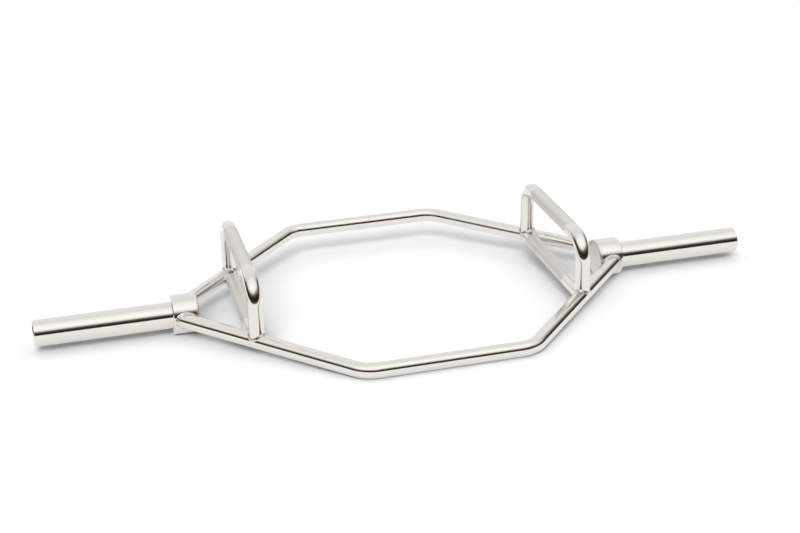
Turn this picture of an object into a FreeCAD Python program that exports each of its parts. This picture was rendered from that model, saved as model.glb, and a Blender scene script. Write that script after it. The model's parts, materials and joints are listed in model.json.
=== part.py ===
import FreeCAD, Part
import math
import os
import Sketcher

from FreeCAD import Vector

# Hex trap bar: a welded bar of six sides that the lifter stands inside, with low and high grips
# and a sleeve for weight plates at each end.
#
# Every piece is drawn level: the origin is on the sleeves' axis at the middle of the bar, +X runs
# along the right sleeve, +Y to the rear and +Z up. A placement then lays the piece on the floor,
# where the bar rests on its two collars and, tipped a little, on its front bar.

doc = FreeCAD.newDocument("HexTrapBar")

# Driving dimensions, in millimetres
SIZES = (
    ("overall_length", 1408, "from sleeve end to sleeve end"),
    ("sleeve_length", 256, "free length of a sleeve outside its collar"),
    ("sleeve_diameter", 50, "outside of a sleeve, for plates with a 2 inch hole"),
    ("sleeve_wall", 5, "wall of the sleeve tube"),
    ("sleeve_chamfer", 2, "lead-in at the outer end of a sleeve"),
    ("plug_length", 14, "plug in the outer end of a sleeve"),
    ("plug_recess", 1, "how far the plug lies inside the end of the sleeve"),
    ("plug_fit", 0.1, "gap all round between plug and sleeve"),
    ("seat_step", 0.5, "how far a sleeve is turned down where it sits in its collar"),
    ("seat_relief", 1, "turned-down neck of a sleeve that shows outside its collar"),
    ("collar_wall", 12.35, "wall of a collar around its bore"),
    ("collar_length", 48, "length of a collar with its disc"),
    ("collar_fit", 0.15, "gap all round between a sleeve's seat and its collar"),
    ("collar_chamfer", 1.2, "broken outer edges of collar and disc"),
    ("disc_thickness", 5, "disc that closes the collar towards the lifter"),
    ("sleeve_weld_leg", 5, "hidden ring of weld between sleeve and collar"),
    ("frame_depth", 674, "between the front and rear bars, centre to centre"),
    ("corner_spacing", 306, "between the two bend corners of a frame bar"),
    ("frame_diameter", 28, "round stock of the frame bars"),
    ("frame_bend_radius", 52, "centreline radius of a frame bend"),
    ("grip_inset", 87, "from the face of a collar disc to the grips' centre"),
    ("grip_diameter", 28, "round stock of the cross bars and raised handles"),
    ("grip_height", 111.5, "from a cross bar up to the raised grip, centre to centre"),
    ("grip_bend_radius", 42, "centreline radius of a raised handle's bend"),
    ("handle_set_in", 2, "how far the feet of a raised handle stand in from the frame's centreline"),
    ("cope_gap", 0.2, "gap between a coped end and the round that it sits on"),
    ("weld_leg", 4, "leg of the visible weld beads"),
    ("weld_wrap", 10, "how far a handle weld reaches down the side of the frame bar"),
)

sheet = doc.addObject("Spreadsheet::Sheet", "sizes")
for row, (alias, value, meaning) in enumerate(SIZES, start=1):
    sheet.set(f"A{row}", alias)
    sheet.set(f"B{row}", str(value))
    sheet.set(f"C{row}", meaning)
    sheet.setAlias(f"B{row}", alias)
doc.recompute()

# Places and angles that follow from the driving dimensions
LAYOUT = (
    ("Float", "seat_diameter", "sizes.sleeve_diameter - 2 * sizes.seat_step"),
    ("Float", "collar_bore", "layout.seat_diameter + 2 * sizes.collar_fit"),
    ("Float", "collar_diameter", "layout.collar_bore + 2 * sizes.collar_wall"),
    ("Float", "collar_outer_x", "sizes.overall_length / 2 - sizes.sleeve_length"),
    ("Float", "collar_inner_x", "layout.collar_outer_x - sizes.collar_length"),
    ("Float", "ring_inner_x", "layout.collar_inner_x + sizes.disc_thickness"),
    ("Float", "shoulder_x", "layout.collar_outer_x + sizes.seat_relief"),
    ("Float", "frame_end_x", "(layout.collar_inner_x + layout.collar_outer_x) / 2"),
    ("Float", "corner_x", "sizes.corner_spacing / 2"),
    ("Float", "corner_y", "sizes.frame_depth / 2"),
    ("Float", "side_run", "layout.frame_end_x - layout.corner_x"),
    ("Float", "side_rise", "layout.corner_y - layout.collar_diameter / 2"),
    ("Float", "slope", "layout.side_rise / layout.side_run"),
    ("Angle", "slant", "atan(layout.slope)"),
    ("Float", "axis_x", "layout.corner_x + layout.corner_y / layout.slope"),
    ("Float", "side_length", "hypot(layout.axis_x - layout.corner_x; layout.corner_y)"),
    ("Float", "foot_x", "layout.collar_inner_x - sizes.grip_inset"),
    ("Float", "foot_y", "(layout.axis_x - layout.foot_x) * layout.slope"),
    ("Float", "handle_y", "layout.foot_y - sizes.handle_set_in"),
    ("Angle", "rest_tilt", "asin((layout.collar_diameter - sizes.frame_diameter) / sizes.frame_depth)"),
    ("Float", "axis_height", "layout.collar_diameter / 2"),
    ("Placement", "lie", "placement(vector(0; 0; layout.axis_height); vector(1; 0; 0); layout.rest_tilt)"),
)

layout = doc.addObject("App::VarSet", "layout")
for kind, name, expression in LAYOUT:
    layout.addProperty(f"App::Property{kind}", name)
    layout.setExpression(name, expression)
doc.recompute()

HALF_TURN = "placement(vector(0; 0; 0); vector(0; 0; 1); 180)"
sub_parts = []


def lay_down(piece, label, turned=False):
    """Name a finished piece and lay it on the floor, turned half round for the other end or side."""
    piece.Label = label
    piece.setExpression("Placement", f"layout.lie * {HALF_TURN}" if turned else "layout.lie")
    sub_parts.append(piece)


# Sketches and features that several pieces share
def origin_plane(body, role):
    return next(feature for feature in body.Origin.OriginFeatures if feature.Role == role)


def new_sketch(body, role, name):
    sketch = body.newObject("Sketcher::SketchObject", name)
    sketch.AttachmentSupport = [(origin_plane(body, role), "")]
    sketch.MapMode = "FlatFace"
    return sketch


def dimension(sketch, kind, *places, by):
    """Add a dimension at its present value and bind it to an expression."""
    number = sketch.addConstraint(Sketcher.Constraint(kind, *places, sketch.evalExpression(by)))
    sketch.setExpression(f"Constraints[{number}]", by)


def place_point(sketch, number, end, across, up):
    """Tie one point of a sketch to its distances from the sketch's origin."""
    dimension(sketch, "DistanceX", -1, 1, number, end, by=across)
    dimension(sketch, "DistanceY", -1, 1, number, end, by=up)


def circle_sketch(body, role, name, diameter, across="0", up="0"):
    sketch = new_sketch(body, role, name)
    centre = Vector(sketch.evalExpression(across), sketch.evalExpression(up), 0)
    sketch.addGeometry(Part.Circle(centre, Vector(0, 0, 1), sketch.evalExpression(diameter) / 2))
    dimension(sketch, "Diameter", 0, by=diameter)
    place_point(sketch, 0, 3, across, up)
    return sketch


def bent_spine(body, role, name, corner, end_across, bend_radius):
    """Half of a bent centreline: level from the sketch's Y axis, round a corner, then on to its X axis."""
    sketch = new_sketch(body, role, name)
    corner_at = Vector(sketch.evalExpression(corner[0]), sketch.evalExpression(corner[1]), 0)
    end_at = Vector(sketch.evalExpression(end_across), 0, 0)
    radius = sketch.evalExpression(bend_radius)
    onward = (end_at - corner_at).normalize()
    turn = Vector(1, 0, 0).getAngle(onward)
    trim = radius * math.tan(turn / 2)
    bend_start = corner_at - Vector(trim, 0, 0)
    bend_circle = Part.Circle(bend_start - Vector(0, radius, 0), Vector(0, 0, 1), radius)
    level, bend, straight, mark = sketch.addGeometry([
        Part.LineSegment(Vector(0, corner_at.y, 0), bend_start),
        Part.ArcOfCircle(bend_circle, math.pi / 2 - turn, math.pi / 2),
        Part.LineSegment(corner_at + onward * trim, end_at),
        Part.Point(corner_at),
    ])
    sketch.setConstruction(mark, True)
    sketch.addConstraint([
        Sketcher.Constraint("PointOnObject", level, 1, -2),
        Sketcher.Constraint("Horizontal", level),
        Sketcher.Constraint("Tangent", level, 2, bend, 2),
        Sketcher.Constraint("Tangent", bend, 1, straight, 1),
        Sketcher.Constraint("PointOnObject", mark, 1, level),
        Sketcher.Constraint("PointOnObject", mark, 1, straight),
    ])
    dimension(sketch, "Radius", bend, by=bend_radius)
    place_point(sketch, mark, 1, *corner)
    place_point(sketch, straight, 2, end_across, "0")
    return sketch


def sweep(body, profile, spine):
    pipe = body.newObject("PartDesign::AdditivePipe", "Sweep")
    pipe.Profile = profile
    pipe.Spine = (spine, ["Edge1", "Edge2", "Edge3"])


def cut_away(body, profile, length, reverse=False, both_ways=False):
    """Pocket a profile out of a body, and stop if it took nothing away."""
    doc.recompute()
    volume_before = body.Shape.Volume
    pocket = body.newObject("PartDesign::Pocket", "Cope")
    pocket.Profile = profile
    pocket.Reversed = reverse
    pocket.SideType = "Symmetric" if both_ways else "One side"
    pocket.setExpression("Length", length)
    doc.recompute()
    if body.Shape.Volume >= volume_before:
        raise RuntimeError(f"the cope of {body.Name} cuts nothing")


def mirror_half(body, role):
    """Mirror the half that is made so far across an origin plane of its body."""
    mirror = body.newObject("PartDesign::Mirrored", "OtherHalf")
    mirror.TransformMode = "Whole shape"
    mirror.MirrorPlane = (origin_plane(body, role), [""])
    body.Tip = mirror


def cope_to_frame(body):
    """Cope the rear end of a cross bar or handle to the slanted side of the right rear frame."""
    section = circle_sketch(body, "XZ_Plane", "FrameSection", "sizes.frame_diameter + 2 * sizes.cope_gap")
    section.setExpression(
        "AttachmentOffset",
        "placement(vector(layout.foot_x; 0; -layout.foot_y); vector(0; 1; 0); 90 deg - layout.slant)")
    cut_away(body, section, "layout.side_length / 2", both_ways=True)


def turned_piece(name, outline):
    """A body turned about the X axis, from corners given as (distance along X, radius)."""
    body = doc.addObject("PartDesign::Body", name)
    sketch = new_sketch(body, "XY_Plane", "Outline")
    corners = [Vector(sketch.evalExpression(x), sketch.evalExpression(r), 0) for x, r in outline]
    for corner, following in zip(corners, corners[1:] + corners[:1]):
        sketch.addGeometry(Part.LineSegment(corner, following))
    for number, corner in enumerate(outline):
        sketch.addConstraint(Sketcher.Constraint("Coincident", number, 2, (number + 1) % len(outline), 1))
        place_point(sketch, number, 1, *corner)
    turn = body.newObject("PartDesign::Revolution", "Turn")
    turn.Profile = sketch
    turn.ReferenceAxis = (sketch, ["H_Axis"])
    turn.Angle = 360
    return body


# Frame bars: one round bar each, bent twice, with both ends coped to the collars
def frame_bar(name):
    body = doc.addObject("PartDesign::Body", name)
    corner = ("layout.corner_x", "layout.corner_y")
    spine = bent_spine(body, "XY_Plane", "Centreline", corner, "layout.axis_x", "sizes.frame_bend_radius")
    stock = circle_sketch(body, "YZ_Plane", "Stock", "sizes.frame_diameter", across="layout.corner_y")
    sweep(body, stock, spine)
    collar = circle_sketch(body, "YZ_Plane", "CollarSection", "layout.collar_diameter + 2 * sizes.cope_gap")
    cut_away(body, collar, "sizes.overall_length / 2", reverse=True)
    mirror_half(body, "YZ_Plane")
    return body


# Cross bars: straight low grips between the slanted sides of the frame
def cross_bar(name):
    body = doc.addObject("PartDesign::Body", name)
    stock = circle_sketch(body, "XZ_Plane", "Stock", "sizes.grip_diameter", across="layout.foot_x")
    pad = body.newObject("PartDesign::Pad", "HalfBar")
    pad.Profile = stock
    pad.Reversed = True
    pad.setExpression("Length", "layout.foot_y")
    cope_to_frame(body)
    mirror_half(body, "XZ_Plane")
    return body


# Raised handles: U-bent high grips whose feet stand on the frame, right above the cross bars
def raised_handle(name):
    body = doc.addObject("PartDesign::Body", name)
    corner = ("layout.handle_y", "sizes.grip_height")
    spine = bent_spine(body, "YZ_Plane", "Centreline", corner, "layout.handle_y", "sizes.grip_bend_radius")
    spine.setExpression("AttachmentOffset.Base.z", "layout.foot_x")
    stock = circle_sketch(
        body, "XZ_Plane", "Stock", "sizes.grip_diameter", across="layout.foot_x", up="sizes.grip_height")
    sweep(body, stock, spine)
    cope_to_frame(body)
    cleared = "sizes.grip_diameter + 2 * sizes.cope_gap"
    below = circle_sketch(body, "XZ_Plane", "CrossBarSection", cleared, across="layout.foot_x")
    cut_away(body, below, "layout.foot_y")
    mirror_half(body, "XZ_Plane")
    return body


# Collars: thick rings, with the inner edge of the bore opened out for the hidden weld
def collar(name):
    outer = "layout.collar_diameter / 2"
    bore = "layout.collar_bore / 2"
    return turned_piece(name, (
        ("layout.ring_inner_x", f"{bore} + sizes.sleeve_weld_leg"),
        ("layout.ring_inner_x", outer),
        ("layout.collar_outer_x - sizes.collar_chamfer", outer),
        ("layout.collar_outer_x", f"{outer} - sizes.collar_chamfer"),
        ("layout.collar_outer_x", bore),
        ("layout.ring_inner_x + sizes.sleeve_weld_leg", bore),
    ))


# Sleeves: tubes from the disc through the collar to the outer end, with a seat turned down for the collar
def sleeve(name):
    outer = "sizes.sleeve_diameter / 2"
    bore = "sizes.sleeve_diameter / 2 - sizes.sleeve_wall"
    end = "sizes.overall_length / 2"
    seat = "layout.seat_diameter / 2"
    return turned_piece(name, (
        ("layout.ring_inner_x", bore),
        ("layout.ring_inner_x", seat),
        ("layout.shoulder_x", seat),
        ("layout.shoulder_x", outer),
        (f"{end} - sizes.sleeve_chamfer", outer),
        (end, f"{outer} - sizes.sleeve_chamfer"),
        (end, bore),
    ))


# Sleeve welds: the ring of weld metal that fills the opened edge of the collar's bore
def sleeve_weld(name):
    seat = "layout.seat_diameter / 2"
    bore = "layout.collar_bore / 2"
    return turned_piece(name, (
        ("layout.ring_inner_x", seat),
        ("layout.ring_inner_x", f"{bore} + sizes.sleeve_weld_leg"),
        ("layout.ring_inner_x + sizes.sleeve_weld_leg", bore),
        ("layout.ring_inner_x + sizes.sleeve_weld_leg", seat),
    ))


# Collar discs: flat covers on the inner end of the collars
def collar_disc(name):
    outer = "layout.collar_diameter / 2"
    return turned_piece(name, (
        ("layout.collar_inner_x", "0"),
        ("layout.collar_inner_x", f"{outer} - sizes.collar_chamfer"),
        ("layout.collar_inner_x + sizes.collar_chamfer", outer),
        ("layout.ring_inner_x", outer),
        ("layout.ring_inner_x", "0"),
    ))


# Sleeve plugs: round plugs just inside the outer ends of the sleeves
def sleeve_plug(name):
    radius = "sizes.sleeve_diameter / 2 - sizes.sleeve_wall - sizes.plug_fit"
    face = "sizes.overall_length / 2 - sizes.plug_recess"
    return turned_piece(name, (
        (f"{face} - sizes.plug_length", "0"),
        (f"{face} - sizes.plug_length", radius),
        (face, radius),
        (face, "0"),
    ))


lay_down(frame_bar("RearFrameBar"), "rear_frame_bar")
lay_down(frame_bar("FrontFrameBar"), "front_frame_bar", turned=True)
END_PIECES = (cross_bar, raised_handle, collar, sleeve, sleeve_weld, collar_disc, sleeve_plug)
for make in END_PIECES:
    for side, turned in (("right", False), ("left", True)):
        label = f"{side}_{make.__name__}"
        lay_down(make(label.title().replace("_", "")), label, turned)


# Weld beads: what lies within a weld's leg of both joined rounds, less the rounds themselves
def round_bar(name, diameter, length, place):
    cylinder = doc.addObject("Part::Cylinder", name)
    cylinder.setExpression("Radius", f"({diameter}) / 2")
    cylinder.setExpression("Height", length)
    cylinder.setExpression("Placement", place)
    return cylinder


def bead(label, meeting, taken_away):
    """The common part of two swollen rounds, less the solids that it may not enter."""
    common = doc.addObject("Part::MultiCommon", "Meeting")
    common.Shapes = meeting
    solids = doc.addObject("Part::MultiFuse", "TakenAway")
    solids.Shapes = taken_away
    weld = doc.addObject("Part::Cut", "Weld")
    weld.Base = common
    weld.Tool = solids
    lay_down(weld, label)


SWOLLEN_FRAME = "sizes.frame_diameter + 2 * sizes.weld_leg"
SWOLLEN_GRIP = "sizes.grip_diameter + 2 * sizes.weld_leg"
SWOLLEN_COLLAR = "layout.collar_diameter + 2 * sizes.weld_leg"

for depth_side, y_sign in (("front", -1), ("rear", 1)):
    for width_side, x_sign in (("left", -1), ("right", 1)):
        corner_name = f"{depth_side}_{width_side}"

        # The slanted side of the frame, from the sleeves' axis out to the bend corner
        heading = f"{90 + 90 * x_sign} deg - {x_sign * y_sign} * layout.slant"
        side_place = f"placement(vector({x_sign} * layout.axis_x; 0; 0); rotation({heading}; 90; 0))"
        side = round_bar("Side", "sizes.frame_diameter", "layout.side_length", side_place)
        side_swollen = round_bar("SideSwollen", SWOLLEN_FRAME, "layout.side_length", side_place)

        # The collar
        inner_x = f"{x_sign} * layout.collar_inner_x"
        collar_place = f"placement(vector({inner_x}; 0; 0); rotation(0; {90 * x_sign}; 0))"
        hub = round_bar("Hub", "layout.collar_diameter", "sizes.collar_length", collar_place)
        hub_swollen = round_bar("HubSwollen", SWOLLEN_COLLAR, "sizes.collar_length", collar_place)

        # The foot of the raised handle
        foot_at = f"{x_sign} * layout.foot_x; {y_sign} * layout.handle_y"
        wrap_end = "sizes.frame_diameter / 2 - sizes.weld_wrap"
        foot_place = f"placement(vector({foot_at}; 0); rotation(0; 0; 0))"
        wrap_place = f"placement(vector({foot_at}; {wrap_end}); rotation(0; 0; 0))"
        foot = round_bar("Foot", "sizes.grip_diameter", "sizes.grip_height", foot_place)
        foot_swollen = round_bar("FootSwollen", SWOLLEN_GRIP, "sizes.grip_height", wrap_place)

        # The cross bar, from the middle of the bar to the frame
        cross_place = f"placement(vector({x_sign} * layout.foot_x; 0; 0); rotation(0; 0; {-90 * y_sign}))"
        cross = round_bar("Cross", "sizes.grip_diameter", "layout.foot_y", cross_place)
        cross_reach = "layout.foot_y - sizes.weld_leg"
        cross_swollen = round_bar("CrossSwollen", SWOLLEN_GRIP, cross_reach, cross_place)

        bead(f"{corner_name}_collar_weld", [side_swollen, hub_swollen], [side, hub])
        bead(f"{corner_name}_handle_weld", [foot_swollen, side_swollen], [foot, side, cross])
        bead(f"{corner_name}_cross_bar_weld", [cross_swollen, side_swollen], [cross, side, foot_swollen])

doc.recompute()

# Checks before anything is written
for item in doc.Objects:
    if "Invalid" in item.State or "Error" in item.State:
        raise RuntimeError(f"{item.Label} did not build: {item.State}")
for piece in sub_parts:
    if piece.Shape.isNull() or not piece.Shape.isValid() or not piece.Shape.Solids:
        raise RuntimeError(f"{piece.Label} is not a sound solid")

os.makedirs("parts", exist_ok=True)
for piece in sub_parts:
    piece.Shape.exportStep(f"parts/{piece.Label}.step")
    print(f"{piece.Label}: {piece.Shape.Volume / 1000:.1f} cm3")
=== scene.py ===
# %% [markdown]
# # Hex trap bar in bright nickel
#
# The bar is a welded hexagon of round steel that a lifter stands inside. It has a low and a high grip on
# each side and a plain sleeve for weight plates at each end, and all of it is plated with bright nickel.
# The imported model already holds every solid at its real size, so it is loaded as a fixed frame. This lesson
# gives each solid its finish, cuts the knurling into the grips and lays the weld beads as real meshes.

import json
import math

import bmesh
import bpy
from mathutils import Matrix, Vector

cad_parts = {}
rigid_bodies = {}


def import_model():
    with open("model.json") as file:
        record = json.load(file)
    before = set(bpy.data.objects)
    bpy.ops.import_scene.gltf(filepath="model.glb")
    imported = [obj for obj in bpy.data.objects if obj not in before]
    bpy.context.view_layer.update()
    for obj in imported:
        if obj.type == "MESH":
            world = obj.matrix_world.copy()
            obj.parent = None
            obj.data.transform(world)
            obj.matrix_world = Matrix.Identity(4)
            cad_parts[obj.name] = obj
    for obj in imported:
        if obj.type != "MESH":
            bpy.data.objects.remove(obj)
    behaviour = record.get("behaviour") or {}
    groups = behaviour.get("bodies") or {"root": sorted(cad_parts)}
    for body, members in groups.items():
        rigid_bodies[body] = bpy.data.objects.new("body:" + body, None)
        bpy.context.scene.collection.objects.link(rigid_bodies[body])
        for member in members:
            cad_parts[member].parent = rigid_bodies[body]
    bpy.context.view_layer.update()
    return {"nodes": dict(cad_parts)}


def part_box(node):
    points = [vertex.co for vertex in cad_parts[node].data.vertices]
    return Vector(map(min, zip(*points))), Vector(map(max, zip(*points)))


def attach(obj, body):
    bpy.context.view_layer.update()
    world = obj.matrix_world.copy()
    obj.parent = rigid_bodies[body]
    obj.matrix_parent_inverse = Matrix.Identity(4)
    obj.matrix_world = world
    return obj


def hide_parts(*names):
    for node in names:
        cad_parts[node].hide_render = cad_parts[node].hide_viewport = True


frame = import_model()

# %% [markdown]
# ## How the bar lies
#
# The bar rests on its two collars, which are thicker than the frame, so it tips forward until its front
# bar touches the floor as well. New pieces are easier to think out on a level bar whose sleeves run along
# the X axis through the origin. One matrix then lays them down as the solids lie. The sizes come from the
# solids' boxes where a box shows them, and the rest are the bar's own driving dimensions, in metres.

# %% Measure the frame
FRAME_DEPTH = 0.674
CORNER_SPACING = 0.306
GRIP_HEIGHT = 0.1115
HANDLE_SET_IN = 0.002
FRAME_RADIUS = 0.014


def middle(node):
    low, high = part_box(node)
    return (low + high) / 2


def extent(node):
    low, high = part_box(node)
    return high - low


collar_radius = extent("right_collar").z / 2
collar_face_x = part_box("right_collar_disc")[0].x
collar_end_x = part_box("right_collar")[1].x
grip_x = middle("right_cross_bar").x
grip_radius = extent("right_cross_bar").x / 2
rest_tilt = math.asin((collar_radius - FRAME_RADIUS) * 2 / FRAME_DEPTH)
lie = Matrix.Translation((0, 0, collar_radius)) @ Matrix.Rotation(rest_tilt, 4, "X")

# The slanted sides run from the bend corners to the middle of the collars' length
corner = Vector((CORNER_SPACING / 2, FRAME_DEPTH / 2, 0))
frame_end = Vector(((collar_face_x + collar_end_x) / 2, collar_radius, 0))
along_side = (frame_end - corner).normalized()
foot = corner + along_side * (grip_x - corner.x) / along_side.x
print(f"tipped {math.degrees(rest_tilt):.2f} degrees, handle feet at {foot.x:.3f}, {foot.y:.3f} m")

# %% [markdown]
# ## Camera
#
# The photograph was taken from a little left of the middle and from about 20 degrees above the floor, with
# the camera rolled by less than 3 degrees. The place was solved from the bar's own corners, ends and grips.
# It is kept here as a direction, a distance and a point that the lens looks at. Angles are in degrees, and
# the lens and its sensor are in millimetres.

# %% Set the camera
CAMERA_AZIMUTH = -13.775
CAMERA_ELEVATION = 19.846
CAMERA_ROLL = -2.770
CAMERA_DISTANCE = 3.0052
CAMERA_TARGET = Vector((0.0220, 0.0978, 0.0370))
CAMERA_LENS = 67.19
CAMERA_SENSOR = 36


def aim(azimuth, elevation):
    """Turn that looks at the bar from this side, counted from the front, and this far above the floor."""
    turn_round = Matrix.Rotation(math.radians(azimuth), 4, "Z")
    tip_down = Matrix.Rotation(math.radians(90 - elevation), 4, "X")
    return turn_round @ tip_down


roll = Matrix.Rotation(math.radians(CAMERA_ROLL), 4, "Z")
back_off = Matrix.Translation((0, 0, CAMERA_DISTANCE))
towards_bar = aim(CAMERA_AZIMUTH, CAMERA_ELEVATION)

camera = bpy.data.objects.new("camera", bpy.data.cameras.new("camera"))
camera.data.lens = CAMERA_LENS
camera.data.sensor_width = CAMERA_SENSOR
camera.matrix_world = Matrix.Translation(CAMERA_TARGET) @ towards_bar @ roll @ back_off
bpy.context.scene.collection.objects.link(camera)
bpy.context.scene.camera = camera
print(f"camera at {[round(value, 3) for value in camera.matrix_world.translation]} m")

# %% [markdown]
# ## Tools for the finishes
#
# Every finish is a node tree. Colours are written as sRGB hex values, as a paint card gives them, and one
# function turns them to the linear values that the shader works with. Another one adds a node, fills in its
# settings and links its inputs. The bar's finishes are all metal, so the last one sets a shader up as metal.

# %% Node tools
MILLIMETRE = 0.001


def linear(hex_colour):
    """Linear RGBA of an sRGB hex colour."""
    channels = [int(hex_colour[place:place + 2], 16) / 255 for place in (1, 3, 5)]
    return [c / 12.92 if c <= 0.04045 else ((c + 0.055) / 1.055) ** 2.4 for c in channels] + [1]


def per_metre(size_mm):
    """Texture scale at which one feature is this many millimetres wide."""
    return 1 / (size_mm * MILLIMETRE)


def add_node(tree, kind, settings=(), *sources, **links):
    """Add a node with its settings, and feed its inputs in order or by name from other nodes' outputs."""
    node = tree.nodes.new(kind)
    for name, value in dict(settings).items():
        if name in node.inputs:
            node.inputs[name].default_value = value
        else:
            setattr(node, name, value)
    for place, source in enumerate(sources):
        tree.links.new(source, node.inputs[place])
    for name, source in links.items():
        tree.links.new(source, node.inputs[name.replace("_", " ")])
    return node


def set_ramp(ramp, stops):
    """Give a colour ramp its stops, as pairs of a place and a linear colour."""
    elements = ramp.color_ramp.elements
    # A new stop starts half-way and gets its own place below
    while len(elements) < len(stops):
        elements.new(0.5)
    for element, (place, colour) in zip(elements, stops):
        element.position = place
        element.color = colour


def new_finish(name):
    material = bpy.data.materials.new(name)
    material.use_nodes = True
    tree = material.node_tree
    return material, tree, tree.nodes["Principled BSDF"]


def make_metal(tree, shader, tone, gloss, bump):
    """Set a shader up as metal, with its colour, roughness and normal from these nodes."""
    shader.inputs["Metallic"].default_value = 1
    tree.links.new(tone.outputs["Color"], shader.inputs["Base Color"])
    tree.links.new(gloss.outputs["Result"], shader.inputs["Roughness"])
    tree.links.new(bump.outputs["Normal"], shader.inputs["Normal"])


print(f"the paint card's middle grey #808080 is {linear('#808080')[0]:.3f} in linear light")

# %% [markdown]
# ## Bright nickel on bent bar
#
# The frame and handles are drawn steel, ground, polished on a wheel and plated with bright nickel. Nickel is
# a warm, yellowish white beside chrome. Polishing leaves the surface very slightly wavy, which is what makes
# a straight reflection wander along a real bar, and leaves hazier and clearer patches. So the base colour
# drifts a little over a few centimetres, roughness varies with a finer grain, and a weak bump adds the wave.
# Most values of a noise lie near its middle, so colour and roughness use up their range there.

# %% Bright nickel
NICKEL_WARM = "#E9E4DD"
NICKEL_COOL = "#E5E3DF"
DRIFT_MM = 45
HAZE_MM = 3
TONE_FROM, TONE_TO = 0.35, 0.65
GLOSS_FROM, GLOSS_TO = 0.3, 0.7


def nickel_tone(tree, place):
    """Nickel's own colour, between its warm and cool shades."""
    drift = add_node(tree, "ShaderNodeTexNoise", {"Scale": per_metre(DRIFT_MM), "Detail": 2}, Vector=place)
    tone = add_node(tree, "ShaderNodeValToRGB", Fac=drift.outputs["Fac"])
    set_ramp(tone, ((TONE_FROM, linear(NICKEL_COOL)), (TONE_TO, linear(NICKEL_WARM))))
    return tone


def bright_nickel(name, roughness, wave_mm, wave_height_mm):
    material, tree, shader = new_finish(name)
    place = add_node(tree, "ShaderNodeTexCoord").outputs["Object"]
    haze = add_node(tree, "ShaderNodeTexNoise", {"Scale": per_metre(HAZE_MM), "Detail": 4}, Vector=place)
    gloss = add_node(
        tree, "ShaderNodeMapRange",
        {"From Min": GLOSS_FROM, "From Max": GLOSS_TO, "To Min": roughness[0], "To Max": roughness[1]},
        Value=haze.outputs["Fac"])
    wave = add_node(tree, "ShaderNodeTexNoise", {"Scale": per_metre(wave_mm), "Detail": 1}, Vector=place)
    bump = add_node(
        tree, "ShaderNodeBump", {"Strength": 1, "Distance": wave_height_mm * MILLIMETRE},
        Height=wave.outputs["Fac"])
    make_metal(tree, shader, nickel_tone(tree, place), gloss, bump)
    return material


polished_bar = bright_nickel("polished_nickel_bar", roughness=(0.06, 0.12), wave_mm=28, wave_height_mm=0.12)
print("made", polished_bar.name)

# %% [markdown]
# ## Turned nickel on sleeves and collars
#
# Sleeves, collars and their covers come off a lathe. The tool leaves fine lines round the axis, which blur a
# reflection across them more than along them. A Wave texture draws the lines: bands along X on the round
# faces, and rings about X on the flat ones, with a Mapping node that brings the sleeves' axis to the
# texture's origin. Real lines are about 0.2 mm apart, too fine to show, so these are drawn coarser.

# %% Turned nickel
LATHE_LINE_MM = 1.2
LINE_WANDER = 1.5
# Length after which a Wave texture of scale 1 repeats
WAVE_CYCLE = math.tau / 20


def turned_nickel(name, pattern, line_height_mm, roughness):
    material, tree, shader = new_finish(name)
    place = add_node(tree, "ShaderNodeTexCoord").outputs["Object"]
    centred = add_node(tree, "ShaderNodeMapping", {"Location": (0, 0, -collar_radius)}, Vector=place)
    lines = add_node(
        tree, "ShaderNodeTexWave",
        {**pattern, "Distortion": LINE_WANDER, "Detail": 2, "Scale": per_metre(LATHE_LINE_MM) * WAVE_CYCLE},
        Vector=centred.outputs["Vector"])
    gloss = add_node(
        tree, "ShaderNodeMapRange", {"To Min": roughness[0], "To Max": roughness[1]},
        Value=lines.outputs["Fac"])
    bump = add_node(
        tree, "ShaderNodeBump", {"Strength": 1, "Distance": line_height_mm * MILLIMETRE},
        Height=lines.outputs["Fac"])
    make_metal(tree, shader, nickel_tone(tree, place), gloss, bump)
    return material


bands = {"wave_type": "BANDS", "bands_direction": "X"}
rings = {"wave_type": "RINGS", "rings_direction": "X"}
turned_round = turned_nickel("turned_nickel_round", bands, line_height_mm=0.002, roughness=(0.06, 0.11))
turned_face = turned_nickel("turned_nickel_face", rings, line_height_mm=0.006, roughness=(0.30, 0.40))
print("made", turned_round.name, "and", turned_face.name)

# %% [markdown]
# ## Knurled nickel and plated weld
#
# The knurled grips are plated too, but the sharp diamonds break every reflection, so they look matt and
# greyer. Most of that comes from real geometry below, and the finish only adds a duller plate with a fine
# grain. Weld beads keep the ripple and small pits of the weld under the plate, so they are less clear than
# the bars. In both, the dark grain is the rougher one.

# %% Knurled nickel and weld metal
KNURL_LIGHT = "#EAE7E2"
KNURL_DARK = "#DEDAD5"
WELD_LIGHT = "#E4E0DA"
WELD_DARK = "#CFCAC3"


def grained_nickel(name, light, dark, grain_mm, grain_height_mm, roughness):
    material, tree, shader = new_finish(name)
    place = add_node(tree, "ShaderNodeTexCoord").outputs["Object"]
    grain = add_node(tree, "ShaderNodeTexNoise", {"Scale": per_metre(grain_mm), "Detail": 3}, Vector=place)
    tone = add_node(tree, "ShaderNodeValToRGB", Fac=grain.outputs["Fac"])
    set_ramp(tone, ((TONE_FROM, linear(dark)), (TONE_TO, linear(light))))
    gloss = add_node(
        tree, "ShaderNodeMapRange",
        {"From Min": GLOSS_FROM, "From Max": GLOSS_TO, "To Min": roughness[1], "To Max": roughness[0]},
        Value=grain.outputs["Fac"])
    bump = add_node(
        tree, "ShaderNodeBump", {"Strength": 1, "Distance": grain_height_mm * MILLIMETRE},
        Height=grain.outputs["Fac"])
    make_metal(tree, shader, tone, gloss, bump)
    return material


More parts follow.
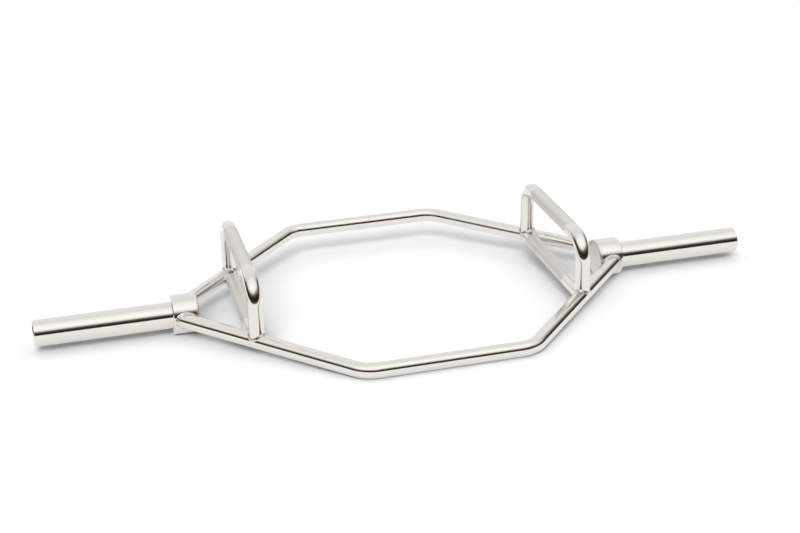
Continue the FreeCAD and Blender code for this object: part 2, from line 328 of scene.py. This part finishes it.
knurled = grained_nickel(
    "knurled_nickel", KNURL_LIGHT, KNURL_DARK, grain_mm=1.2, grain_height_mm=0.01, roughness=(0.40, 0.50))
weld_metal = grained_nickel(
    "plated_weld", WELD_LIGHT, WELD_DARK, grain_mm=2.5, grain_height_mm=0.06, roughness=(0.10, 0.20))
print("made", knurled.name, "and", weld_metal.name)

# %% [markdown]
# ## Dress the solids
#
# The solids are already the right shape, so each keeps its mesh and only changes its finish: the bent bars
# are polished, what came off the lathe shows its lines, and the flat covers show rings.

# %% Give the solids their finishes
FINISHES = (
    ("frame_bar", polished_bar),
    ("cross_bar", polished_bar),
    ("raised_handle", polished_bar),
    ("collar", turned_round),
    ("sleeve", turned_round),
    ("collar_disc", turned_face),
    ("sleeve_plug", turned_face),
    ("weld", weld_metal),
)

for node_name, solid in frame["nodes"].items():
    finish = next(material for ending, material in FINISHES if node_name.endswith(ending))
    solid.data.materials.clear()
    solid.data.materials.append(finish)
print(f"finished {len(frame['nodes'])} solids")


# %% [markdown]
# ## Adding a piece
#
# Every new piece is a mesh that rides with the bar and takes one of the finishes above. Its
# place is in the mesh, so its object stays at the origin, as the solids' objects do.

# %% Add a piece
def add_piece(name, mesh, finish, smooth):
    mesh.name = name
    mesh.transform(lie)
    mesh.materials.clear()
    mesh.materials.append(finish)
    if smooth:
        mesh.shade_smooth()
    else:
        mesh.shade_flat()
    piece = bpy.data.objects.new(name, mesh)
    bpy.context.scene.collection.objects.link(piece)
    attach(piece, "root")
    return piece


# %% [markdown]
# ## Knurling
#
# Knurling is rolled into a bar by two wheels with crossed teeth, and leaves rows of small raised diamonds.
# It could be a bump, but a bump keeps a smooth outline and is lost in the exported mesh. Here a profile with
# one point per row is spun round the grip, and every second point of the checkerboard that this makes is
# raised. Splitting the faces along their short diagonals then turns each raised point into a four-sided
# diamond. The profile is closed by a wall inside the bar, so each band is a sound closed ring.

# %% Knurl the grips
DIAMOND_STEP = 0.8 * MILLIMETRE
DIAMOND_HEIGHT = 0.12 * MILLIMETRE
KNURL_CLEAR = 0.03 * MILLIMETRE
KNURL_DEPTH = 0.6 * MILLIMETRE
MERGE_DISTANCE = DIAMOND_STEP / 20
# Front and rear end of the knurling along a grip
LOW_KNURL = (-0.083, 0.127)
HIGH_KNURL = (-0.094, 0.100)


def knurl_band(name, across, height, span):
    """A ring of raised diamonds round a grip that runs along Y."""
    front, rear = span
    rows = round((rear - front) / DIAMOND_STEP)
    columns = 2 * round(math.pi * grip_radius / DIAMOND_STEP)
    axis_point = Vector((across, 0, height))
    first_point = axis_point + Vector((grip_radius + KNURL_CLEAR, front, 0))
    row_step = Vector((0, DIAMOND_STEP, 0))

    bm = bmesh.new()
    profile = [bm.verts.new(first_point + row * row_step) for row in range(rows + 1)]
    inside = [bm.verts.new(v.co - Vector((KNURL_DEPTH, 0, 0))) for v in (profile[-1], profile[0])]
    loop = profile + inside
    chain = [bm.edges.new((one, following)) for one, following in zip(loop, loop[1:] + loop[:1])]
    bmesh.ops.spin(
        bm, geom=loop + chain, cent=axis_point, axis=(0, 1, 0), angle=math.tau, steps=columns,
        use_merge=True)
    bmesh.ops.remove_doubles(bm, verts=bm.verts, dist=MERGE_DISTANCE)

    for vert in bm.verts:
        outward = Vector((vert.co.x - across, 0, vert.co.z - height))
        row = round((vert.co.y - front) / DIAMOND_STEP)
        column = round(math.atan2(outward.z, outward.x) / math.tau * columns)
        on_outside = outward.length > grip_radius
        if on_outside and 0 < row < rows and (row + column) % 2:
            vert.co += outward.normalized() * DIAMOND_HEIGHT
    bmesh.ops.triangulate(bm, faces=bm.faces, quad_method="SHORT_EDGE")
    bmesh.ops.recalc_face_normals(bm, faces=bm.faces)
    mesh = bpy.data.meshes.new(name)
    bm.to_mesh(mesh)
    bm.free()
    print(f"{name}: {rows} rows of {columns}, {len(mesh.polygons)} triangles")
    return add_piece(name, mesh, knurled, smooth=False)


for side, sign in (("left", -1), ("right", 1)):
    knurl_band(f"{side}_low_grip_knurl", sign * grip_x, 0, LOW_KNURL)
    knurl_band(f"{side}_high_grip_knurl", sign * grip_x, GRIP_HEIGHT, HIGH_KNURL)

# %% [markdown]
# ## Where the weld beads run
#
# A bead fills the corner along the line where two round bars meet. Every point of that line lies on the
# surface of both, so it can be found by walking once round the bar that ends there and asking how far along
# or up the other surface is. Each walk also notes which way both surfaces face, because the bead lies on the
# two of them. The frame's four corners are mirror images, so each line is found once, at the rear right.

# %% Find the lines of the welds
WALK_STEPS = 240
up = Vector((0, 0, 1))
inward = along_side.cross(up)
towards_middle = Vector((0, -1, 0))


def collar_line(angle):
    """End of the frame bar on the collar, which is round about the X axis."""
    facing = math.cos(angle) * inward + math.sin(angle) * up
    start = foot + FRAME_RADIUS * facing
    wanted_y = math.sqrt(collar_radius ** 2 - start.z ** 2)
    point = start + along_side * (wanted_y - start.y) / along_side.y
    return point, facing, Vector((0, point.y, point.z)).normalized()


def handle_line(angle):
    """Foot of the raised handle, which stands on the frame bar and on the cross bar in front of it."""
    facing = Vector((math.cos(angle), math.sin(angle), 0))
    offset = grip_radius * facing + HANDLE_SET_IN * towards_middle
    across = offset.dot(inward)
    on_frame = FRAME_RADIUS ** 2 - across ** 2
    on_cross_bar = grip_radius ** 2 - offset.x ** 2 if offset.y < 0 else 0
    height = math.sqrt(max(on_frame, on_cross_bar, 0))
    sideways = across * inward if on_frame >= on_cross_bar else Vector((offset.x, 0, 0))
    return foot + offset + height * up, facing, (sideways + height * up).normalized()


def cross_bar_line(angle):
    """End of the cross bar on the inner side of the frame bar."""
    facing = Vector((math.cos(angle), 0, math.sin(angle)))
    offset = grip_radius * facing
    depth = math.sqrt(max(FRAME_RADIUS ** 2 - offset.z ** 2, 0))
    point = foot + offset + Vector((0, (depth - offset.dot(inward)) / inward.y, 0))
    return point, facing, (depth * inward + offset.z * up).normalized()


def walk_round(line):
    """The line's points and both surfaces' facings, as three lists."""
    return [list(values) for values in zip(*(line(math.tau * n / WALK_STEPS) for n in range(WALK_STEPS)))]


def steps_between(points):
    return [(following - one).length for one, following in zip(points, points[1:] + points[:1])]


for line in (collar_line, handle_line, cross_bar_line):
    print(f"{line.__name__}: {sum(steps_between(walk_round(line)[0])) / MILLIMETRE:.0f} mm round")

# %% [markdown]
# ## Weld beads
#
# A hand-laid bead is a row of overlapping puddles, so its width swells and shrinks every few millimetres. At
# each step of the walk the bead's section reaches up the bar that ends and out over the other one, with a
# low crown between. Joining the steps gives rings that run side by side round the joint, and the bridge
# operator fills each pair of rings with faces. The outer rings are sunk in the bars and one ring runs inside
# them, so the bead is closed and leaves no gap. Corners of the line are eased, as molten metal eases them.

# %% Shape of a bead
PUDDLE_LENGTH = 3.2 * MILLIMETRE
PUDDLE_SWELL = 0.10
EASE_PASSES = 10
EDGE_SUNK = 0.8 * MILLIMETRE
RING_INSIDE = 2.0 * MILLIMETRE
FACE_SHARES = (0.25, 0.5, 0.75)


def eased(vectors):
    """Vectors drawn towards the middle of their neighbours, a few times over."""
    for _ in range(EASE_PASSES):
        before = vectors[-1:] + vectors[:-1]
        after = vectors[1:] + vectors[:1]
        vectors = [
            (last + 2 * this + following) / 4 for last, this, following in zip(before, vectors, after)]
    return vectors


def section(point, onward, bar_facing, other_facing, along_bar, legs, crown):
    """Points across the bead, from the bar that ends to the surface that it meets, and one inside."""
    up_bar = bar_facing.cross(onward).normalized()
    if up_bar.dot(along_bar) < 0:
        up_bar = -up_bar
    out_over = other_facing.cross(onward).normalized()
    if out_over.dot(bar_facing - along_bar) < 0:
        out_over = -out_over
    between = (bar_facing + other_facing).normalized()
    bar_edge = point + legs[0] * up_bar - EDGE_SUNK * bar_facing
    other_edge = point + legs[1] * out_over - EDGE_SUNK * other_facing
    top = point + crown * sum(legs) * between
    face = [bar_edge.lerp(top, share).lerp(top.lerp(other_edge, share), share) for share in FACE_SHARES]
    return [bar_edge, *face, other_edge, point - RING_INSIDE * between]


def weld_bead(name, line, along_bar, legs, crown, x_sign, y_sign):
    """Mesh of the bead along a line, mirrored to its own corner of the frame."""
    points, bar_facings, other_facings = [eased(vectors) for vectors in walk_round(line)]
    steps = steps_between(points)
    puddles = round(sum(steps) / PUDDLE_LENGTH)
    sections = []
    walked = 0
    for n in range(WALK_STEPS):
        swell = 1 - PUDDLE_SWELL * abs(math.cos(math.pi * puddles * walked / sum(steps)))
        onward = points[(n + 1) % WALK_STEPS] - points[n - 1]
        sections.append(section(
            points[n], onward, bar_facings[n].normalized(), other_facings[n].normalized(), along_bar,
            [leg * swell for leg in legs], crown))
        walked += steps[n]

    bm = bmesh.new()
    rings = []
    for ring_points in zip(*sections):
        ring = [bm.verts.new((x_sign * p.x, y_sign * p.y, p.z)) for p in ring_points]
        rings.append([bm.edges.new((one, following)) for one, following in zip(ring, ring[1:] + ring[:1])])
    for one, following in zip(rings, rings[1:] + rings[:1]):
        bmesh.ops.bridge_loops(bm, edges=one + following)
    bmesh.ops.recalc_face_normals(bm, faces=bm.faces)
    mesh = bpy.data.meshes.new(name)
    bm.to_mesh(mesh)
    bm.free()
    return mesh


# %% Lay the beads
# How far each bead reaches up the bar that ends and out over the other one, and how full its face is
WELDS = (
    ("collar_weld", collar_line, -along_side, (8.0 * MILLIMETRE, 4.8 * MILLIMETRE), 0.10),
    ("handle_weld", handle_line, up, (5.0 * MILLIMETRE, 4.0 * MILLIMETRE), 0.26),
    ("cross_bar_weld", cross_bar_line, towards_middle, (5.0 * MILLIMETRE, 4.0 * MILLIMETRE), 0.30),
)

for depth_side, y_sign in (("front", -1), ("rear", 1)):
    for width_side, x_sign in (("left", -1), ("right", 1)):
        for kind, line, along_bar, legs, crown in WELDS:
            node_name = f"{depth_side}_{width_side}_{kind}"
            mesh = weld_bead(f"{node_name}_bead", line, along_bar, legs, crown, x_sign, y_sign)
            bead = add_piece(f"{node_name}_bead", mesh, weld_metal, smooth=True)
            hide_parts(node_name)
    print(f"{depth_side} beads laid, {len(mesh.polygons)} faces in the last")

# %% [markdown]
# ## White paper
#
# The bar lies on a large sheet of white paper. Polished metal shows the paper too, and a Light Path node
# tells those rays from the rest. For them the paper carries a painted reflection: half of it glows plain
# white, with no shadow, and half is what the light leaves there. A short way in front of the bar it turns
# into a painted dark floor that only the metal shows. All other rays see paper with the bar's shadow on it.

# %% Rays from polished metal
def mirrored_rays(tree):
    """1 for rays that a polished or clear surface sends on, and 0 for all others."""
    ray = add_node(tree, "ShaderNodeLightPath").outputs
    either = add_node(
        tree, "ShaderNodeMath", {"operation": "MAXIMUM"}, ray["Is Glossy Ray"], ray["Is Transmission Ray"])
    return either.outputs["Value"]


def grey(level):
    return (level, level, level, 1)


# %% White paper floor
FLOOR_SIZE = 60
PAPER_WHITE = "#F8F8F8"
PAPER_ROUGHNESS = 0.95
PAPER_SHOWN_PLAIN = 0.5
PAPER_END_Y = -0.75
PAPER_END_BLUR = 0.06
# Colour of the dark floor that is painted into the paper's reflection only; the camera sees white paper there
PAINTED_DARK_FLOOR_REFLECTION = "#453C36"

bm = bmesh.new()
bmesh.ops.create_grid(bm, x_segments=1, y_segments=1, size=FLOOR_SIZE / 2)
floor_mesh = bpy.data.meshes.new("floor")
bm.to_mesh(floor_mesh)
bm.free()
floor = bpy.data.objects.new("floor", floor_mesh)
bpy.context.scene.collection.objects.link(floor)

paper, tree, shader = new_finish("white_paper")
shader.inputs["Base Color"].default_value = linear(PAPER_WHITE)
shader.inputs["Roughness"].default_value = PAPER_ROUGHNESS
shader.inputs["Specular IOR Level"].default_value = 0
place = add_node(tree, "ShaderNodeTexCoord").outputs["Object"]
depth = add_node(tree, "ShaderNodeSeparateXYZ", Vector=place).outputs["Y"]
on_paper = add_node(
    tree, "ShaderNodeMapRange", {"From Min": PAPER_END_Y - PAPER_END_BLUR, "From Max": PAPER_END_Y},
    Value=depth)
shown_colour = add_node(tree, "ShaderNodeValToRGB", Fac=on_paper.outputs["Result"])
set_ramp(shown_colour, ((0, linear(PAINTED_DARK_FLOOR_REFLECTION)), (1, grey(1))))
shown_share = add_node(
    tree, "ShaderNodeMapRange", {"To Min": 1, "To Max": PAPER_SHOWN_PLAIN},
    Value=on_paper.outputs["Result"])
# Painted reflection: the paper glows for mirrored rays alone, shadowless white on the paper and dark beyond
# its end
plain = add_node(tree, "ShaderNodeEmission", {"Strength": 1}, Color=shown_colour.outputs["Color"])
share = add_node(
    tree, "ShaderNodeMath", {"operation": "MULTIPLY"}, mirrored_rays(tree), shown_share.outputs["Result"])
shown = add_node(
    tree, "ShaderNodeMixShader", (),
    share.outputs["Value"], shader.outputs["BSDF"], plain.outputs["Emission"])
tree.links.new(shown.outputs["Shader"], tree.nodes["Material Output"].inputs["Surface"])
floor_mesh.materials.append(paper)
print(f"floor of {FLOOR_SIZE} m")

# %% [markdown]
# ## Lamps
#
# One soft light stands beside the camera and higher up, and a much wider one hangs overhead. The wide one
# makes a shadow darkest where a bar nearly touches the paper, and the other one moves it back behind the
# bar. Sun lamps light the whole floor evenly, where area lamps would leave the far paper grey. They are left
# out of the reflections, because the room below draws them.
#
# Polished bars also throw light back into their own shadows, but the photographed shadows are deep. So the
# bars are left out of the light that the paper gathers, and the lamps reach the paper by shadow rays alone.

# %% Lamps
# Azimuth from the front towards the right, elevation and spread in degrees, and strength
LAMPS = (
    ("beside_camera", -15, 39, 34, 2.5),
    ("overhead", -10, 80, 130, 1.9),
)

for name, azimuth, elevation, spread, strength in LAMPS:
    lamp = bpy.data.objects.new(name, bpy.data.lights.new(name, "SUN"))
    lamp.data.energy = strength
    lamp.data.angle = math.radians(spread)
    lamp.data.cycles.use_multiple_importance_sampling = False
    lamp.matrix_world = aim(azimuth, elevation)
    lamp.visible_glossy = False
    bpy.context.scene.collection.objects.link(lamp)
    print(f"lamp {name}, {elevation} degrees up")

for piece in bpy.context.scene.objects:
    if piece.type == "MESH" and piece != floor:
        piece.visible_diffuse = False

# %% [markdown]
# ## The room that the metal shows
#
# Polished metal shows its surroundings and little else, so the room is drawn with the care of a finish. It
# is dark at the height of the horizon, which draws the thin brown-black stripe along every bar. The dark
# reaches higher towards the right, and lower again at the far right and the rear, where light comes in. A
# long soft light hangs over the front, brightest half-way up, and the rest is pale grey with a darker seam
# where the light's far edge is. One ramp follows the height of a ray, a second one follows its depth from
# front to rear, and their product is the room. The camera sees plain white, and all other rays meet a faint
# even light.

# %% Light in the room
FILL_STRENGTH = 0.03
ROOM_STRENGTH = 1.22
ROOM_BLACK = linear("#2A211D")
ROOM_BROWN = linear("#4B3F38")
ROOM_OLIVE = linear("#867F74")

# Colour by the sine of the height above the horizon
HORIZON = (
    (0.00, ROOM_BLACK), (0.22, ROOM_BLACK), (0.36, ROOM_BROWN), (0.50, ROOM_OLIVE), (0.61, grey(0.72)),
    (0.72, grey(0.87)), (0.82, grey(1.0)),
)
# Level by the depth of a ray, from 0 at the front horizon to 1 at the rear one
OVERHEAD = (
    (0.25, grey(1.0)), (0.354, grey(0.93)), (0.526, grey(0.82)), (0.595, grey(0.73)), (0.687, grey(0.73)),
    (0.75, grey(0.77)),
)
# The height of a ray counts for more at the left, and is raised at the rear and at the far right
HEIGHT_FACTOR = {"From Min": -1, "From Max": 1, "To Min": 1.3, "To Max": 1.0}
REAR_LIFT = {"From Min": 0.35, "From Max": 0.9, "To Max": 0.6}
RIGHT_LIFT = {"From Min": 0.6, "From Max": 0.9, "To Max": 0.14}
print(f"{len(HORIZON)} levels above the horizon and {len(OVERHEAD)} from front to rear")

# %% Room
world = bpy.data.worlds.new("studio")
world.use_nodes = True
bpy.context.scene.world = world
tree = world.node_tree
tree.nodes.clear()
direction = add_node(tree, "ShaderNodeTexCoord").outputs["Generated"]
part = add_node(tree, "ShaderNodeSeparateXYZ", Vector=direction).outputs
factor = add_node(tree, "ShaderNodeMapRange", HEIGHT_FACTOR, Value=part["X"])
rear_lift = add_node(tree, "ShaderNodeMapRange", REAR_LIFT, Value=part["Y"])
right_lift = add_node(tree, "ShaderNodeMapRange", RIGHT_LIFT, Value=part["X"])
lift = add_node(
    tree, "ShaderNodeMath", {"operation": "ADD"}, rear_lift.outputs["Result"], right_lift.outputs["Result"])
stretched = add_node(
    tree, "ShaderNodeMath", {"operation": "MULTIPLY"}, part["Z"], factor.outputs["Result"])
height = add_node(
    tree, "ShaderNodeMath", {"operation": "ADD"}, stretched.outputs["Value"], lift.outputs["Value"])
depth = add_node(tree, "ShaderNodeMapRange", {"From Min": -1, "From Max": 1}, Value=part["Y"])
by_height = add_node(tree, "ShaderNodeValToRGB", Fac=height.outputs["Value"])
set_ramp(by_height, HORIZON)
by_depth = add_node(tree, "ShaderNodeValToRGB", Fac=depth.outputs["Result"])
set_ramp(by_depth, OVERHEAD)
room = add_node(
    tree, "ShaderNodeVectorMath", {"operation": "MULTIPLY"},
    by_height.outputs["Color"], by_depth.outputs["Color"])

fill = add_node(tree, "ShaderNodeBackground", {"Color": grey(1), "Strength": FILL_STRENGTH})
reflected = add_node(
    tree, "ShaderNodeBackground", {"Strength": ROOM_STRENGTH}, Color=room.outputs["Vector"])
white = add_node(tree, "ShaderNodeBackground", {"Color": grey(1), "Strength": 1})
lit = add_node(
    tree, "ShaderNodeMixShader", (),
    mirrored_rays(tree), fill.outputs["Background"], reflected.outputs["Background"])
camera_ray = add_node(tree, "ShaderNodeLightPath").outputs["Is Camera Ray"]
seen = add_node(
    tree, "ShaderNodeMixShader", (), camera_ray, lit.outputs["Shader"], white.outputs["Background"])
add_node(tree, "ShaderNodeOutputWorld", Surface=seen.outputs["Shader"])
bpy.context.scene.view_settings.view_transform = "Standard"
print("room is dark at the horizon and white overhead")
